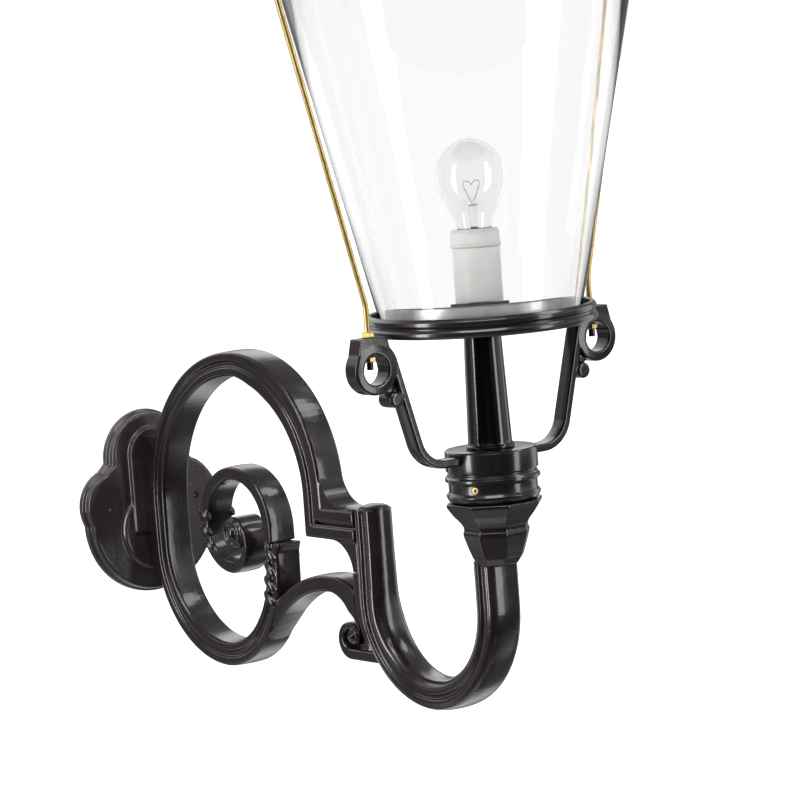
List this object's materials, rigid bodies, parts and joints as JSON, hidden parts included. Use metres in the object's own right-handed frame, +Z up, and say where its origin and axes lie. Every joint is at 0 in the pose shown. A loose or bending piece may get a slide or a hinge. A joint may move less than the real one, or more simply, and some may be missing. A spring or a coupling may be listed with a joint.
{
  "type": "outdoor wall lantern on scroll bracket",
  "caption": "Round outdoor wall lantern: tapered clear glass with vented hood and brass tie rods, on a dark enamelled scroll bracket with a club-shaped wall plate.",
  "frame": {"origin": "middle of the flat back of the wall plate, level with its two screw holes", "axes": "+Z up; +Y into the wall, so the bracket reaches out along -Y; +X along the wall"},
  "size_m": [0.448, 0.767, 0.942],
  "materials": {
    "enamel": "gloss",
    "tube": "gloss",
    "brass": "satin",
    "holder": "satin",
    "tray": "satin",
    "gasket": "matte",
    "steel": "satin",
    "clear_glass": "gloss"
  },
  "bodies": {
    "bracket": {"wall_plate": "enamel", "big_scroll": "enamel", "inner_scroll": "enamel", "j_arm": "enamel"},
    "lantern": {"collar": "enamel", "grub_screw_1": "brass", "grub_screw_2": "brass", "grub_screw_3": "brass", "centre_tube": "tube", "nipple": "steel", "nipple_nut_lower": "steel", "nipple_nut_upper": "steel", "base_ring": "enamel", "base_plate": "tray", "base_gasket": "gasket", "lantern_glass": "clear_glass", "top_gasket": "gasket", "top_ring": "enamel", "holder_pad": "gasket", "holder_body": "holder", "holder_ring": "holder", "holder_shell": "brass", "holder_contact": "brass", "yoke_arm_right": "enamel", "tie_rod_right": "brass", "lug_nut_right": "brass", "eye_nut_right": "brass", "cap_nut_right": "brass", "yoke_arm_left": "enamel", "tie_rod_left": "brass", "lug_nut_left": "brass", "eye_nut_left": "brass", "cap_nut_left": "brass", "hinge_pin": "brass"},
    "hood": {"hood": "enamel", "vent_chimney": "enamel", "vent_cap": "enamel", "finial": "enamel"},
    "hood_screw": {"hood_screw": "brass"},
    "bulb_carrier": {"bulb_contact": "brass"},
    "bulb": {"bulb_cap": "brass", "bulb_glass": "clear_glass", "bulb_stem": "clear_glass", "bulb_filament": "steel"}
  },
  "joints": [
    {"name": "lantern_turn", "type": "hinge", "parent": "bracket", "child": "lantern", "pos_m": [0, -0.543, 0.05], "axis": [0, 0, 1], "range_deg": [-180, 180]},
    {"name": "hood_hinge", "type": "hinge", "parent": "lantern", "child": "hood", "pos_m": [0, -0.36199, 0.5411], "axis": [-1, 0, 0], "range_deg": [0, 95]},
    {"name": "hood_screw_turn", "type": "hinge", "parent": "hood", "child": "hood_screw", "pos_m": [0, -0.72401, 0.5887], "axis": [0, 0, 1], "range_deg": [0, 1080]},
    {"name": "bulb_rise", "type": "slide", "parent": "lantern", "child": "bulb_carrier", "axis": [0, 0, 1], "range_m": [0, 0.0326]},
    {"name": "bulb_turn", "type": "hinge", "parent": "bulb_carrier", "child": "bulb", "pos_m": [0, -0.543, 0.2324], "axis": [0, 0, 1], "range_deg": [0, 3240]}
  ],
  "couplings": [
    {"joint": "bulb_turn", "follows": "bulb_rise", "rad_per_m": 1731.4}
  ]
}
